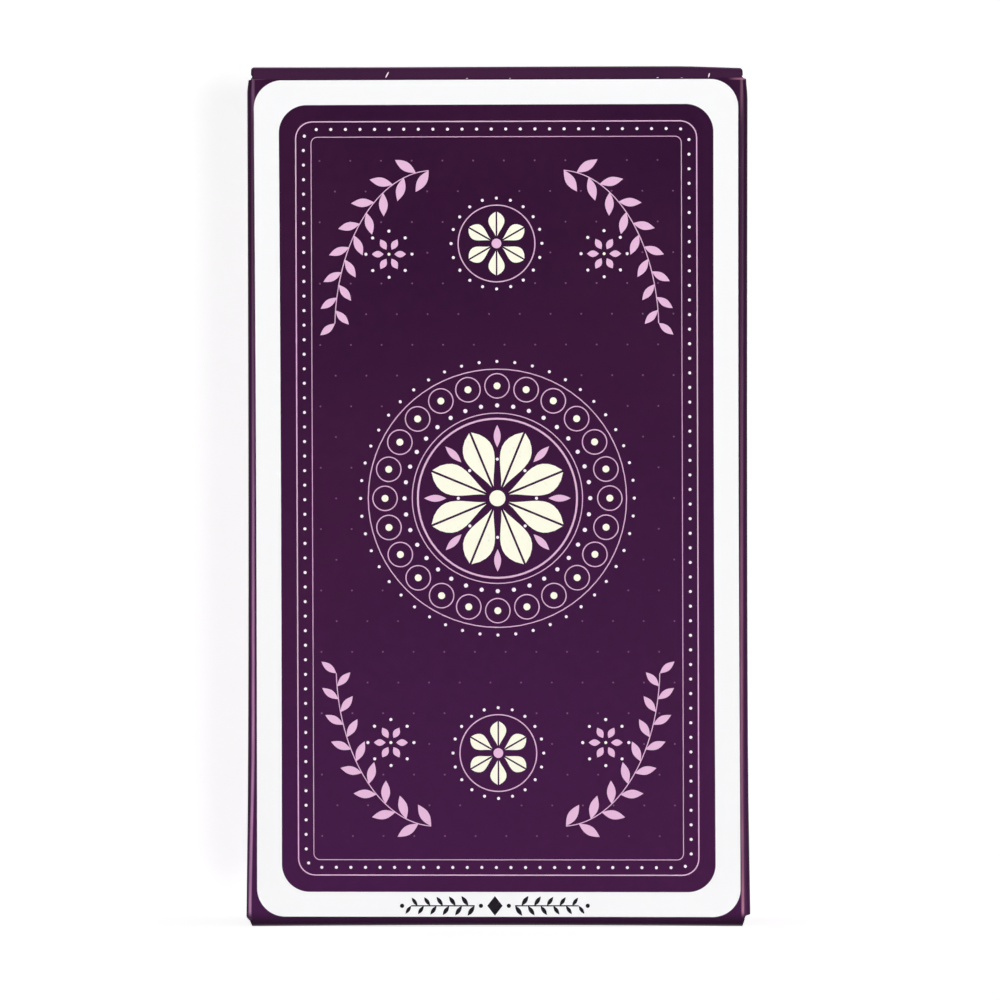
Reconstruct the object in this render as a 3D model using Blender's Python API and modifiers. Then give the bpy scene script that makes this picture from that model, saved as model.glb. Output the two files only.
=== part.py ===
"""A closed tuck box of folding boxboard with its deck of cards inside, standing on its bottom end.

The front panel faces -Y and the lid is on top. The carton is one cut and creased sheet, shown here
as the pieces between its working creases: the glued sleeve, the glued bottom, the lid, its tuck
flap and the two dust flaps. The cards stand upright in it, one behind the other.
"""

import math

import bmesh
import bpy
from mathutils import Vector

MM = 0.001

# The cards
CARD_COUNT = 54
CARD_WIDTH = 70.0 * MM
CARD_HEIGHT = 120.0 * MM
CARD_THICKNESS = 0.33 * MM
CARD_CORNER_RADIUS = 3.75 * MM
CARD_SPACING = 0.02 * MM

# The board and its creases
BOARD = 0.45 * MM
FOLD_INNER_RADIUS = 0.45 * MM
CREASE_GAP = 0.15 * MM

# Room around the deck
SIDE_PLAY = 0.45 * MM
BACK_PLAY = 0.5 * MM
SEAT_GAP = 0.15 * MM
DUST_FLAP_ROOM = 0.65 * MM

# The lid and its tuck flap
END_INSET = 0.75 * MM
FRONT_EDGE_RISE = 0.1 * MM
LID_GAP = 0.15 * MM
TUCK_LENGTH = 14.0 * MM
TUCK_INSET = 0.35 * MM
TUCK_CORNER_RADIUS = 6.0 * MM
TUCK_GAP = 0.3 * MM

# The dust flaps under the lid, with sloping back edges that leave a share of the width at the tip
DUST_LENGTH = 21.0 * MM
DUST_FRONT_GAP = 0.4 * MM
DUST_BACK_GAP = 0.4 * MM
DUST_TIP_SHARE = 0.45
DUST_CORNER_RADIUS = 2.5 * MM

# The glued bottom
GLUE_GAP = 0.1 * MM
BOTTOM_FLAP_STEP = 0.05 * MM
BOTTOM_FLAP_LENGTH = 22.0 * MM
BOTTOM_FLAP_GAP = 0.4 * MM
BOTTOM_BACK_INSET = 0.2 * MM

# Finishes
PRINT_PURPLE = (0.050, 0.012, 0.055)
FOLD_PURPLE = (0.038, 0.010, 0.042)
BARE_BOARD = (0.72, 0.70, 0.68)
CARD_WHITE = (0.86, 0.85, 0.84)
PRINT_ROUGHNESS = 0.38
BOARD_ROUGHNESS = 0.7
CARD_ROUGHNESS = 0.45

# How finely arcs are drawn, and how far cutters reach past what they cut
ARC_STEPS = 6
MERGE = 0.001 * MM
CUTTER_REACH = 2.0 * MM
SMOOTH_ANGLE = math.radians(40)

# The deck, and the box around it
deck_depth = CARD_COUNT * CARD_THICKNESS + (CARD_COUNT - 1) * CARD_SPACING
fold_radius = FOLD_INNER_RADIUS + BOARD
inner_width = CARD_WIDTH + 2 * SIDE_PLAY
inner_depth = BACK_PLAY + deck_depth + 2 * TUCK_GAP + BOARD
box_width = inner_width + 2 * BOARD
box_depth = inner_depth + 2 * BOARD
end_width = box_width - 2 * END_INSET

# Depths, from the front panel at -Y to the back panel at +Y
front_face = -box_depth / 2
tuck_plane = front_face + BOARD + TUCK_GAP + BOARD / 2
deck_front = tuck_plane + BOARD / 2 + TUCK_GAP
lid_crease_y = box_depth / 2 - BOARD / 2

# Heights, from the bottom panel up
sleeve_low = BOARD + GLUE_GAP
bottom_flap_low = sleeve_low + BOTTOM_FLAP_STEP
deck_low = bottom_flap_low + BOARD + SEAT_GAP
deck_high = deck_low + CARD_HEIGHT
front_edge = deck_high + FRONT_EDGE_RISE
dust_plane = deck_high + DUST_FLAP_ROOM + BOARD / 2
lid_plane = dust_plane + BOARD + LID_GAP
crease_reach = BOARD / 2 + CREASE_GAP
side_edge = dust_plane - crease_reach
back_edge = lid_plane - crease_reach

# Ways to turn a flat outline drawn in x and y
FLAT = (0.0, 0.0, 0.0)
UPRIGHT = (math.pi / 2, 0.0, 0.0)  # y becomes up
PROFILE = (math.pi / 2, 0.0, math.pi / 2)  # x becomes the depth and y becomes up


def make_collection(name):
    collection = bpy.data.collections.new(name)
    bpy.context.scene.collection.children.link(collection)
    return collection


def make_material(name, colour, roughness):
    material = bpy.data.materials.new(name)
    material.use_nodes = True
    shader = material.node_tree.nodes["Principled BSDF"]
    shader.inputs["Base Color"].default_value = (*colour, 1.0)
    shader.inputs["Roughness"].default_value = roughness
    shader.inputs["Metallic"].default_value = 0.0
    return material


def rounded(corners):
    """The closed outline through corners (x, y, radius), each one an arc of that radius."""
    points = []
    for i, (x, y, radius) in enumerate(corners):
        corner = Vector((x, y))
        if radius == 0:
            points.append(corner)
            continue
        before = (Vector(corners[i - 1][:2]) - corner).normalized()
        after = (Vector(corners[(i + 1) % len(corners)][:2]) - corner).normalized()
        half_angle = before.angle(after) / 2
        centre = corner + (before + after).normalized() * radius / math.sin(half_angle)
        start = corner + before * radius / math.tan(half_angle) - centre
        end = corner + after * radius / math.tan(half_angle) - centre
        turn = math.pi - 2 * half_angle
        for step in range(ARC_STEPS + 1):
            along = turn * step / ARC_STEPS
            spoke = start * math.sin(turn - along) + end * math.sin(along)
            points.append(centre + spoke / math.sin(turn))
    return [p for i, p in enumerate(points) if (p - points[i - 1]).length > MERGE]


def rounded_rectangle(width, height, radius):
    x, y = width / 2, height / 2
    return rounded([(x, y, radius), (-x, y, radius), (-x, -y, radius), (x, -y, radius)])


def plate_curve(name, outline, thickness, fill="BOTH"):
    """A flat plate with its middle in the drawing plane, or with no fill only its rim."""
    curve = bpy.data.curves.new(name, "CURVE")
    curve.dimensions = "2D"
    curve.fill_mode = fill
    curve.extrude = thickness / 2
    spline = curve.splines.new("POLY")
    spline.points.add(len(outline) - 1)
    for point, place in zip(spline.points, outline):
        point.co = (place.x, place.y, 0.0, 1.0)
    spline.use_cyclic_u = True
    return curve


def add_plate(name, curve, location, rotation, material, parent=None):
    plate = bpy.data.objects.new(name, curve)
    plate.location = location
    plate.rotation_euler = rotation
    if not curve.materials:
        curve.materials.append(material)
    parts.objects.link(plate)
    if parent:
        bpy.context.view_layer.update()
        plate.parent = parent
        plate.matrix_parent_inverse = parent.matrix_world.inverted()
    return plate


def plate_to_mesh(plate):
    """Turns a plate's curve into a mesh with its caps joined on, ready to be cut or to cut."""
    bpy.context.view_layer.update()
    evaluated = plate.evaluated_get(bpy.context.evaluated_depsgraph_get())
    mesh = bpy.data.meshes.new_from_object(evaluated)
    build = bmesh.new()
    build.from_mesh(mesh)
    bmesh.ops.remove_doubles(build, verts=build.verts, dist=MERGE)
    build.to_mesh(mesh)
    build.free()
    mesh.shade_smooth()
    mesh.set_sharp_from_angle(angle=SMOOTH_ANGLE)
    name, place, collection = plate.name, plate.matrix_world.copy(), plate.users_collection[0]
    bpy.data.objects.remove(plate)
    solid = bpy.data.objects.new(name, mesh)
    solid.matrix_world = place
    collection.objects.link(solid)
    return solid


def hide(block):
    block.hide_render = True
    block.display_type = "WIRE"
    return block


def add_block(name, low, high):
    """A hidden box between two corners, for cutting or joining."""
    build = bmesh.new()
    bmesh.ops.create_cube(build, size=1.0)
    size = Vector(high) - Vector(low)
    bmesh.ops.scale(build, vec=size, verts=build.verts)
    mesh = bpy.data.meshes.new(name)
    build.to_mesh(mesh)
    build.free()
    block = bpy.data.objects.new(name, mesh)
    block.location = (Vector(low) + Vector(high)) / 2
    cutters.objects.link(block)
    return hide(block)


def boolean(solid, block, operation):
    modifier = solid.modifiers.new(block.name, "BOOLEAN")
    modifier.operation = operation
    modifier.object = block


def add_empty(name, location):
    empty = bpy.data.objects.new(name, None)
    empty.location = location
    parts.objects.link(empty)
    return empty


def add_top_cutter(low, high):
    """Cuts the walls down to the dust flaps' creases, around the back panel's tab for the lid."""
    side, front, back = box_width / 2 + CUTTER_REACH, -box_depth / 2 - CUTTER_REACH, box_depth / 2
    tab, beyond, inside = end_width / 2, back + CUTTER_REACH, back - fold_radius
    corners = [
        (-side, front),
        (side, front),
        (side, beyond),
        (tab, beyond),
        (tab, inside),
        (-tab, inside),
        (-tab, beyond),
        (-side, beyond),
    ]
    curve = plate_curve("top_cut", [Vector(corner) for corner in corners], high - low)
    block = bpy.data.objects.new("top_cut", curve)
    block.location.z = (low + high) / 2
    cutters.objects.link(block)
    return hide(plate_to_mesh(block))


def add_sleeve(material):
    """The four walls as one glued tube, with the bottom's inner flaps folded in from its sides."""
    outline = rounded_rectangle(box_width, box_depth, fold_radius)
    tube = plate_curve("carton_sleeve", outline, back_edge - sleeve_low, "NONE")
    middle = (0, 0, (sleeve_low + back_edge) / 2)
    sleeve = plate_to_mesh(add_plate("carton_sleeve", tube, middle, FLAT, material))
    wall = sleeve.modifiers.new("wall", "SOLIDIFY")
    wall.thickness = BOARD
    wall.offset = -1.0
    wall.use_even_offset = True

    side, outside = box_width / 2, front_face - CUTTER_REACH
    flap_front = front_face + BOARD + BOTTOM_FLAP_GAP
    flap_back = box_depth / 2 - BOARD - BOTTOM_FLAP_GAP
    flap_high = bottom_flap_low + BOARD
    for name, sign in (("left_bottom_flap", -1), ("right_bottom_flap", 1)):
        root, tip = sign * (side - BOARD / 2), sign * (side - BOTTOM_FLAP_LENGTH)
        low = (min(root, tip), flap_front, bottom_flap_low)
        high = (max(root, tip), flap_back, flap_high)
        boolean(sleeve, add_block(name, low, high), "UNION")

    above, below = back_edge + CUTTER_REACH, sleeve_low - CUTTER_REACH
    boolean(sleeve, add_top_cutter(side_edge, above), "DIFFERENCE")
    panel = side - fold_radius
    inside = front_face + fold_radius
    front_top = add_block("front_top_cut", (-panel, outside, front_edge), (panel, inside, above))
    boolean(sleeve, front_top, "DIFFERENCE")
    fold = end_width / 2 + GLUE_GAP
    inside = front_face + BOARD + GLUE_GAP
    seam = fold_radius + GLUE_GAP
    front_fold = add_block("front_fold_cut", (-fold, outside, below), (fold, inside, seam))
    boolean(sleeve, front_fold, "DIFFERENCE")
    return sleeve


def add_bottom(material):
    """The outer bottom panel with the rounded fold that carries on the front panel."""
    back = box_depth / 2 - BOTTOM_BACK_INSET
    profile = rounded(
        [
            (back, 0.0, 0.0),
            (back, BOARD, 0.0),
            (front_face + BOARD, BOARD, FOLD_INNER_RADIUS),
            (front_face + BOARD, fold_radius, 0.0),
            (front_face, fold_radius, 0.0),
            (front_face, 0.0, fold_radius),
        ]
    )
    curve = plate_curve("bottom_panel", profile, end_width)
    return add_plate("bottom_panel", curve, (0, 0, 0), PROFILE, material)


def add_lid(material):
    """The lid panel, from the crease on the back panel to the rounded fold of the tuck flap."""
    half = BOARD / 2
    nose = tuck_plane - lid_crease_y - half
    profile = rounded(
        [(-crease_reach, -half, 0.0), (-crease_reach, half, 0.0), (nose, half, half), (nose, -half, half)]
    )
    curve = plate_curve("lid_panel", profile, end_width)
    return add_plate("lid_panel", curve, (0, lid_crease_y, lid_plane), PROFILE, material)


def add_tuck_flap(material, lid):
    """The flap that hangs from the lid's front fold, inside the front panel."""
    half = end_width / 2 - TUCK_INSET
    tip = -crease_reach - TUCK_LENGTH
    outline = rounded(
        [
            (half, -crease_reach, 0.0),
            (-half, -crease_reach, 0.0),
            (-half, tip, TUCK_CORNER_RADIUS),
            (half, tip, TUCK_CORNER_RADIUS),
        ]
    )
    curve = plate_curve("tuck_flap", outline, BOARD)
    return add_plate("tuck_flap", curve, (0, tuck_plane, lid_plane), UPRIGHT, material, lid)


def add_dust_flap(name, sign, material):
    """A flap folded in from a side panel. Its sloping back edge clears the lid as both swing."""
    front = tuck_plane + BOARD / 2 + DUST_FRONT_GAP
    back = box_depth / 2 - BOARD - DUST_BACK_GAP
    root, tip = -sign * crease_reach, -sign * DUST_LENGTH
    tip_width = DUST_TIP_SHARE * (back - front)
    corner = min(DUST_CORNER_RADIUS, tip_width / 2)
    outline = rounded(
        [
            (root, front, 0.0),
            (root, back, 0.0),
            (tip, front + tip_width, corner),
            (tip, front, corner),
        ]
    )
    curve = plate_curve(name, outline, BOARD)
    crease_x = sign * (box_width / 2 - BOARD / 2)
    return add_plate(name, curve, (crease_x, 0, dust_plane), FLAT, material)


def add_cards(material):
    """The deck, numbered from the front, on an empty that stands for the way it slides out."""
    deck = add_empty("deck_slide_axis", (0, deck_front + deck_depth / 2, deck_low))
    outline = rounded_rectangle(CARD_WIDTH, CARD_HEIGHT, CARD_CORNER_RADIUS)
    curve = plate_curve("card", outline, CARD_THICKNESS)
    for index in range(CARD_COUNT):
        y = deck_front + CARD_THICKNESS / 2 + index * (CARD_THICKNESS + CARD_SPACING)
        place = (0, y, deck_low + CARD_HEIGHT / 2)
        add_plate(f"card_{index + 1:02d}", curve, place, UPRIGHT, material, deck)


for leftover in list(bpy.data.objects):
    bpy.data.objects.remove(leftover)

parts = make_collection("card_deck_in_tuck_box")
cutters = make_collection("cutters")

add_sleeve(make_material("printed_sleeve", PRINT_PURPLE, PRINT_ROUGHNESS))
add_bottom(make_material("printed_bottom", FOLD_PURPLE, PRINT_ROUGHNESS))
lid_panel = add_lid(make_material("printed_lid", FOLD_PURPLE, PRINT_ROUGHNESS))
add_tuck_flap(make_material("printed_tuck_flap", FOLD_PURPLE, PRINT_ROUGHNESS), lid_panel)
add_dust_flap("left_dust_flap", -1, make_material("left_dust_board", BARE_BOARD, BOARD_ROUGHNESS))
add_dust_flap("right_dust_flap", 1, make_material("right_dust_board", BARE_BOARD, BOARD_ROUGHNESS))
add_cards(make_material("card_stock", CARD_WHITE, CARD_ROUGHNESS))
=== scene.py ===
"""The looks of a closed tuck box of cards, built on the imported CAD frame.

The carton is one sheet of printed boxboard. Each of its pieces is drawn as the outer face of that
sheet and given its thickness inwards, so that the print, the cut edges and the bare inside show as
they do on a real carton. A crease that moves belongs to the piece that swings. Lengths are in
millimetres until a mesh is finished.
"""

import math

import bmesh
import bpy
from mathutils import Matrix, Vector


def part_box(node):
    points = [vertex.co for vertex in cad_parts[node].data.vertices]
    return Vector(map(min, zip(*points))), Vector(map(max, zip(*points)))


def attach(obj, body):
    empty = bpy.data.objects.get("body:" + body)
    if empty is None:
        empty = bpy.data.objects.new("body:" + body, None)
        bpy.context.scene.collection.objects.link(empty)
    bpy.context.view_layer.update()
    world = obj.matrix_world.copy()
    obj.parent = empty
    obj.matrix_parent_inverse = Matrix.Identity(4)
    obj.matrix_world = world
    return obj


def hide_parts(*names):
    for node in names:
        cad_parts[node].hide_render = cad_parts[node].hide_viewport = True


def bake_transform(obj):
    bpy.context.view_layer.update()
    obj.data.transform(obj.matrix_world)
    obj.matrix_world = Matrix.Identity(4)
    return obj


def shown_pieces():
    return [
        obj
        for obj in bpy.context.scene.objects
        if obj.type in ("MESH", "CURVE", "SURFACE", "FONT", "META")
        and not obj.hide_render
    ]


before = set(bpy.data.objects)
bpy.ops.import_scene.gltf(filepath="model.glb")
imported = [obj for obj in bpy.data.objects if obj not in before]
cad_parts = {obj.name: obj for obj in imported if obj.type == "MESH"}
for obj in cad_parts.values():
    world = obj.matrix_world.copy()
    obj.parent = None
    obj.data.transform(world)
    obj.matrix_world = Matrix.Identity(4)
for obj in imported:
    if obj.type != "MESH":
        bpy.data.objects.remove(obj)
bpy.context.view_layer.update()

MM = 0.001
MERGE = 0.002
QUARTER = math.pi / 2
SHEET_PLACE = "sheet_place"
SMOOTH_ANGLE = math.radians(35)


def node_box(node):
    low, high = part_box(node)
    return low / MM, high / MM


# Places read from the CAD frame
sleeve_low, sleeve_high = node_box("carton_sleeve")
bottom_back = node_box("bottom_panel")[1].y
lid_low, lid_high = node_box("lid_panel")
tuck_low, tuck_high = node_box("tuck_flap")
dust_low, dust_high = node_box("right_dust_flap")
card_low, card_high = node_box("card_01")

SIDE = sleeve_high.x
FRONT = sleeve_low.y
BACK = sleeve_high.y
TOP = lid_high.z
BOARD = lid_high.z - lid_low.z
FOLD = 2 * BOARD
PANEL = SIDE - FOLD
SIDE_PANEL = BACK - FOLD

# The sleeve's cut edges
FRONT_TOP = 121.37
FRONT_TOP_TILT = 0.0037
SIDE_TOP = 121.35
LEFT_SHOULDER_DROP = 0.2
BACK_TOP = 121.5
FRONT_FOOT = FOLD
BACK_FOOT = sleeve_low.z
CORNER_FOOT_LEFT = 1.35
CORNER_NOTCH = 0.22
SIDE_FOOT_LEFT = 1.5
SIDE_FOOT_RIGHT = 1.65
SEAM_GAP = 0.12
GLUE_FLAP_WIDTH = 9.0
GLUE_FLAP_THICKNESS = 0.22
GLUE_FLAP_GAP = 0.02
GLUE_FLAP_FOOT = SIDE_FOOT_LEFT + 1
GLUE_FLAP_TOP = 119.0
GLUE_FLAP_SLOPE = 4.0

# How the board leans and bows; a pair is for the left and the right side
FRONT_BOW = 0.2
SIDE_BOW = 0.12
FLARE_FOOT = (0.1, 0.25)
FLARE_HEAD = (0.04, -0.05)
FOOT_SPREAD = (0.07, 0.12)
FOOT_SPREAD_TOP = 24.0
WAIST = 0.22
WAIST_DROP = 0.75
PINCH = (0.18, 0.19)
PINCH_REACH = (2.2, 3.4)
PINCH_EASE = 1.5

# The folds over the top
LID_NOSE_RADIUS = 0.6
LID_SPLIT = -9.0
LID_END_ROUND = 0.45
LID_SHIFT = -0.12
LID_LIFT = 0.26
LID_WARP = 0.085
LID_WARP_TURN = 0.6 * math.pi / SIDE
LID_END_START = 27.2
LID_END_SLOPE = 0.032
LID_HALF = lid_high.x - LID_SHIFT
TUCK_CORNER = 6.0
TUCK_TAPER = 1.5
DUST_FOLD_REACH = 0.95
DUST_FOLD_LEAN = 0.04
DUST_TIP_SHARE = 0.45
DUST_CORNER = 2.5
DUST_RELIEF = 6.0
DUST_RELIEF_RUN = 8.0

# The folds under the bottom
STRIP_ENDS = (-35.58, 35.4)
STRIP_BEVEL = (0.4, 0.32)
STRIP_INSET = BOARD / 4
BOTTOM_ARCH = 0.12
BOTTOM_FLAP_LOW = 0.6
BOTTOM_FLAP_TIP = 13.9
BOTTOM_FLAP_LIFTED = [(33.0, 0.6), (34.0, 0.95), (34.9, 1.27)]
BOTTOM_FLAP_LIFTED += [(35.3, 1.38), (35.6, 1.47), (35.8, 1.55)]

# How finely the sheets are drawn
ARC_STEPS = 7
LID_END_STEPS = 6
PANEL_COLUMNS = 41
SIDE_COLUMNS = 13
GLUE_FLAP_COLUMNS = 4
BOTTOM_ROWS = 9
BOTTOM_FLAP_ROWS = 5
GLUE_FLAP_ROWS = 12
LID_BACK_ROWS = 3
LID_ROWS = 12
TUCK_ROWS = 18
DUST_ROWS = 14
WALL_LEVELS = [2, 3, 5, 8, 12, 18, 26, 34, 42, 50, 58, 66, 74, 82, 90, 98, 105, 111, 115, 117]
WALL_LEVELS += [118, 118.8, 119.5, 120.1, 120.6, 121]

# The print on the front and back panels, and on the cards
PRINT_TILT = (-0.0012, 0.0034)
PRINT_LEAN = (0.0043, 0.003)
PRINT_MIDDLE = 61.24
BORDER_HALF = (34.68, 59.97)
BORDER_RADIUS = 4.05
FIELD_HALF = (31.125, 56.41)
FIELD_RADIUS = 4.0
PANEL_START = 10.25
PRINT_SHIFT = -0.04
PRINT_WAIST = 0.125
PRINT_SOFTNESS = 0.025
CARD_PRINT_HALF = (31.3, 56.3)
CARD_PRINT_RADIUS = 2.6
CARD_MIDDLE = (card_low.z + card_high.z) / 2
CARD_WEAVE = 1.6

# Ink stands a hair proud of the board; its lines have a point at least every PATH_STEP
INK = 0.02
SPECK_INK = 0.012
PATH_STEP = 2.5


def srgb(red, green, blue):
    """A colour as it is seen on a screen, 0 to 255, as the linear colour that shaders take."""
    shares = [channel / 255 for channel in (red, green, blue)]
    linear = [s / 12.92 if s <= 0.04045 else ((s + 0.055) / 1.055) ** 2.4 for s in shares]
    return (*linear, 1.0)


PURPLE_HIGH = srgb(47, 9, 47)
PURPLE_LOW = srgb(65, 22, 67)
PURPLE_WARM = srgb(66, 22, 58)
# A deep purple, painted as shade on the folds' flanks and on the bottom fold
PAINTED_SHADE_PURPLE = srgb(20, 5, 18)
# Pale purple and rose for rubbed folds and edges, also used as a painted highlight along the upright folds
WORN_AND_LIT_PURPLE = srgb(186, 132, 174)
WORN_AND_LIT_ROSE = srgb(190, 128, 154)
PAPER_CORE = srgb(240, 228, 232)
BORDER_WHITE = srgb(248, 248, 249)
BOARD_GREY = srgb(222, 219, 213)
BOARD_FLECK = srgb(188, 182, 172)
EDGE_WHITE = srgb(226, 216, 221)
EDGE_GREY = srgb(190, 174, 184)
STOCK_WHITE = srgb(244, 242, 238)
STOCK_SHADE = srgb(221, 217, 211)
CREAM = srgb(252, 251, 231)
PINK = srgb(231, 186, 220)
PALE = srgb(252, 240, 251)
DUSK = srgb(118, 76, 116)
BLACK = srgb(26, 20, 30)


# Nodes written as expressions


def operator(operation):
    """A method that adds a Math node to the socket it is called on."""
    return lambda value, *others: value.graph.math(operation, value, *others)


class Value:
    """A socket of a node, on which Python's operators add Math nodes."""

    def __init__(self, graph, socket):
        self.graph = graph
        self.socket = socket

    __add__ = __radd__ = operator("ADD")
    __sub__ = operator("SUBTRACT")
    __mul__ = __rmul__ = operator("MULTIPLY")
    __truediv__ = operator("DIVIDE")
    __pow__ = operator("POWER")
    __lt__ = operator("LESS_THAN")
    __gt__ = operator("GREATER_THAN")
    __abs__ = operator("ABSOLUTE")
    at_most = operator("MINIMUM")
    at_least = operator("MAXIMUM")
    modulo = operator("MODULO")
    rounded = operator("ROUND")
    root = operator("SQRT")
    sine = operator("SINE")
    cosine = operator("COSINE")
    turn_from = operator("ARCTAN2")

    def __rsub__(self, other):
        return self.graph.math("SUBTRACT", other, self)

    def __rtruediv__(self, other):
        return self.graph.math("DIVIDE", other, self)

    def __neg__(self):
        return self * -1


class Graph:
    """A node tree, with one way to add any node to it."""

    def __init__(self, tree):
        self.tree = tree

    def feed(self, node, inputs):
        for key, value in inputs.items():
            if isinstance(value, Value):
                self.tree.links.new(value.socket, node.inputs[key])
            else:
                node.inputs[key].default_value = value

    def add(self, kind, inputs=None, **settings):
        """Adds a node: its settings come first, then its inputs' values or links."""
        node = self.tree.nodes.new(kind)
        for name, setting in settings.items():
            setattr(node, name, setting)
        self.feed(node, inputs or {})
        return {out.name: Value(self, out) for out in reversed(node.outputs) if out.enabled}

    def math(self, operation, *values):
        return self.add("ShaderNodeMath", dict(enumerate(values)), operation=operation)["Value"]

    def vector(self, x, y, z):
        return self.add("ShaderNodeCombineXYZ", {"X": x, "Y": y, "Z": z})["Vector"]

    def parts(self, vector):
        split = self.add("ShaderNodeSeparateXYZ", {"Vector": vector})
        return split["X"], split["Y"], split["Z"]

    def scaled(self, vector, factor):
        return self.add("ShaderNodeVectorMath", {0: vector, 1: factor}, operation="MULTIPLY")["Vector"]

    def rise(self, value, low, high):
        """0 below low and 1 above high, with a smooth way between."""
        inputs = {"Value": value, "From Min": low, "From Max": high}
        return self.add("ShaderNodeMapRange", inputs, interpolation_type="SMOOTHSTEP")["Result"]

    def fall(self, value, low, high):
        """1 below low and 0 above high, with a smooth way between."""
        return 1 - self.rise(value, low, high)

    def mix(self, share, first, second):
        return self.add("ShaderNodeMix", {0: share, 6: first, 7: second}, data_type="RGBA")["Result"]

    def place(self):
        """The point on the object in millimetres, as a vector."""
        return self.scaled(self.add("ShaderNodeTexCoord")["Object"], (1 / MM,) * 3)

    def sheet_place(self):
        """The point in millimetres where the board lay at rest, which stays when the board bends."""
        return self.add("ShaderNodeAttribute", attribute_name=SHEET_PLACE)["Vector"]

    def noise(self, place, size, detail, stretch=(1.0, 1.0, 1.0)):
        """Cloudy variation around 0.5, with lumps about size across."""
        stretched = self.scaled(place, tuple(s / size for s in stretch))
        inputs = {"Vector": stretched, "Scale": 1.0, "Detail": detail}
        return self.add("ShaderNodeTexNoise", inputs, noise_dimensions="3D")["Fac"]

    def bump(self, height, depth):
        inputs = {"Height": height, "Distance": depth * MM, "Strength": 1.0}
        return self.add("ShaderNodeBump", inputs)["Normal"]

    def rounded_panel(self, across, up, half, radius):
        """1 inside a rounded rectangle around the middle, 0 outside it."""
        beyond_x = (abs(across) - (half[0] - radius)).at_least(0.0)
        beyond_z = (abs(up) - (half[1] - radius)).at_least(0.0)
        distance = (beyond_x * beyond_x + beyond_z * beyond_z).root()
        return self.fall(distance, radius - PRINT_SOFTNESS, radius + PRINT_SOFTNESS)

    def shape_of(self, source):
        return self.add("GeometryNodeObjectInfo", {"Object": source})["Geometry"]

    def index(self):
        return self.add("GeometryNodeInputIndex")["Index"]

    def position(self):
        return self.add("GeometryNodeInputPosition")["Position"]

    def put(self, geometry, position):
        inputs = {"Geometry": geometry, "Position": position}
        return self.add("GeometryNodeSetPosition", inputs)["Geometry"]

    def copies(self, points, motif, **ways):
        """A motif on every point, with its Rotation or Scale."""
        inputs = {"Points": points, "Instance": self.shape_of(motif), **ways}
        return self.add("GeometryNodeInstanceOnPoints", inputs)["Instances"]


PAINTED = ("Base Color", "Roughness", "Normal")


def make_material(name, paint, constants):
    """A material whose paint function gives what varies; constants go on the shader's own sockets."""
    material = bpy.data.materials.new(name)
    material.use_nodes = True
    graph = Graph(material.node_tree)
    shader = material.node_tree.nodes["Principled BSDF"]
    graph.feed(shader, constants)
    graph.feed(shader, dict(zip(PAINTED, paint(graph))))
    return material


# Finishes

PRINT_GLOSS = {"Specular IOR Level": 0.08}
PAPER_GLOSS = {"Specular IOR Level": 0.2}

# How deep the relief of each surface is
PRINT_TOOTH = 0.006
BOARD_TOOTH = 0.012
EDGE_TOOTH = 0.02
CARD_TOOTH = 0.004

# How rough each surface is: the least, and how far it varies
PRINT_ROUGH = (0.28, 0.12)
FLAP_ROUGH = (0.44, 0.14)
BOARD_ROUGH = (0.72, 0.16)
EDGE_ROUGH = (0.8, 0.1)
CARD_ROUGH = (0.36, 0.16)
INK_ROUGH = (0.4, 0.12)
CHIP_ROUGH = 0.3

# Chips in the ink along the lid's front fold: across, up, half length, half width, lean
CHIPS = [
    (-15.86, 121.95, 0.5, 0.1, 1.1),
    (-4.4, 121.42, 0.16, 0.1, 0.0),
    (1.76, 121.42, 0.14, 0.09, 0.0),
    (22.9, 121.5, 0.2, 0.1, 0.4),
    (26.4, 121.45, 0.24, 0.12, 0.0),
    (30.3, 121.9, 0.34, 0.1, 1.3),
]

# Ink rubbed off the upright folds, and a painted highlight where their rounded crease catches light, on
# the left and on the right of the box
WEAR_HIGHLIGHT_PLACE = (0.03, -0.07)
WEAR_HIGHLIGHT_FOOT_PLACE = (0.48, 0.2)
WEAR_HIGHLIGHT_FOOT = (0.9, 0.44)

# How much is rubbed off and painted lighter all along a fold, at the right foot and at the head
WEAR_HIGHLIGHT_LEAST = 0.05
WEAR_HIGHLIGHT_CORNER = 0.4
WEAR_HIGHLIGHT_HEAD = 0.22

# Between which heights it fades, across which half width, and how its streaks are drawn out
WEAR_HIGHLIGHT_SHIFT_HEIGHTS = (0.0, 28.0)
WEAR_HIGHLIGHT_FOOT_HEIGHTS = (18.0, 100.0)
WEAR_HIGHLIGHT_CORNER_HEIGHTS = (1.5, 9.0)
WEAR_HIGHLIGHT_HEAD_HEIGHTS = (114.0, 120.0)
WEAR_HIGHLIGHT_START_HEIGHTS = (1.0, 2.1)
WEAR_HIGHLIGHT_HALF_WIDTH = (0.05, 0.31)
WEAR_HIGHLIGHT_STREAK = (3.0, 3.0, 0.22)

# How strongly another colour shows over the purple
# FLANK_SHADE and FOOT_SHADE set painted shade: on the folds' flanks, which turn from the light, and on the
# bottom fold, which faces down
FLANK_SHADE = 0.7
FOOT_SHADE = 0.7
FOOT_SHADE_HEIGHTS = (0.4, 2.2)
STRIP_RUB = 0.035
EDGE_RUB = 0.5
CREASE_RUB = 0.25
EDGE_INK = 0.8
HUE_DRIFT = 0.3
CARD_SPOTS = 0.5
CARD_TINT = 0.25
INK_THIN = 0.22


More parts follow.
